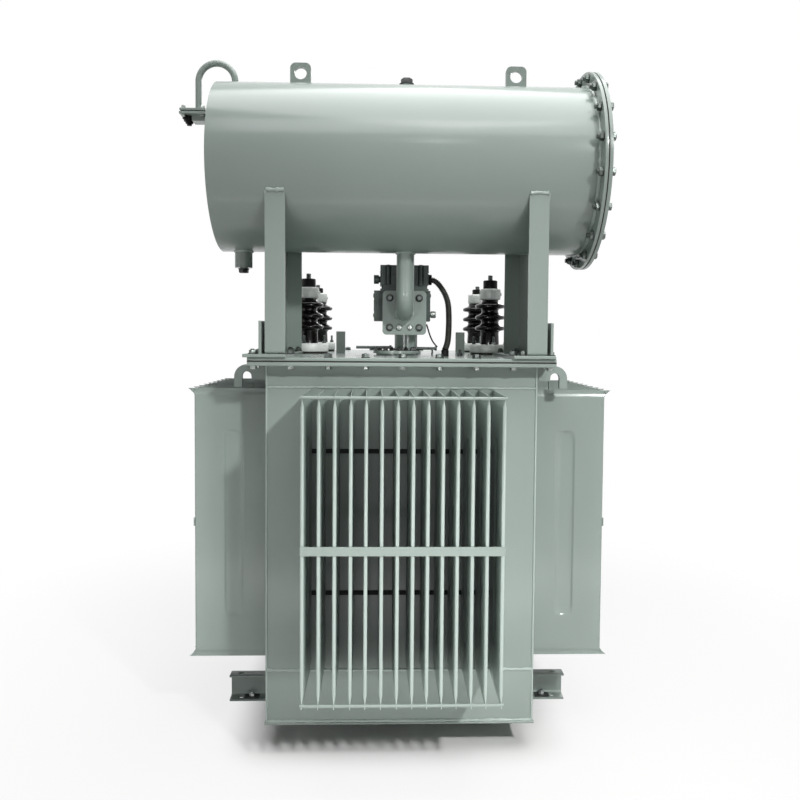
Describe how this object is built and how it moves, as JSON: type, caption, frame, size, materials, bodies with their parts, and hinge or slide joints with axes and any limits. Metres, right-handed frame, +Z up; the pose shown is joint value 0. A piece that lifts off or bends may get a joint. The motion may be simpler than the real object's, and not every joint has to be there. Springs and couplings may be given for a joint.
{
  "type": "step voltage regulator",
  "caption": "Oil-filled step voltage regulator: a tank with pressed cooling fins on two base channels, bushings on its bolted cover and a horizontal conservator on saddles above.",
  "frame": {"origin": "on the ground at the centre of the base bolt pattern, under the middle of the tank", "axes": "+Z up, -Y the front end with the conservator over it, X across the tank"},
  "size_m": [1.654, 2.062, 2.581],
  "materials": {
    "enamel": "gloss enamel",
    "gasket": "matt",
    "dark_casting": "satin",
    "clamp": "cast, satin",
    "porcelain": "glazed",
    "terminal": "blackened",
    "conduit": "ribbed, satin"
  },
  "bodies": {
    "root": {"front_base_channel": "enamel", "rear_base_channel": "enamel", "tank_floor": "enamel", "tank_front_wall": "enamel", "tank_rear_wall": "enamel", "tank_left_wall": "enamel", "tank_right_wall": "enamel", "tank_rim": "enamel", "cover_gasket": "gasket", "tank_cover": "enamel", "front_fins": "enamel", "rear_fins": "enamel", "left_fins": "enamel", "right_fins": "enamel", "front_and_rear_fin_bars": "enamel", "side_fin_bars": "enamel", "left_lifting_hooks": "enamel", "right_lifting_hooks": "enamel", "conservator_shell": "enamel", "conservator_left_end": "enamel", "conservator_flange": "enamel", "conservator_gasket": "gasket", "conservator_cover": "enamel", "left_saddle": "enamel", "right_saddle": "enamel", "saddle_feet": "enamel", "conservator_lifting_lugs": "enamel", "filler_plug": "enamel", "drain_sump": "enamel", "breather_pipe": "enamel", "breather_flanges": "enamel", "breather_plug": "conduit", "conservator_pipe": "enamel", "relay_body": "dark_casting", "relay_head": "dark_casting", "relay_riser": "enamel", "signal_conduit": "conduit", "conduit_glands": "conduit", "signal_wire": "conduit", "bushing_gaskets": "gasket", "bushing_clamps": "clamp", "bushing_insulators": "porcelain", "bushing_caps": "clamp", "bushing_terminals": "terminal", "cover_lugs": "enamel", "handhole_cover": "enamel", "handhole_clamps": "enamel"}
  },
  "joints": []
}
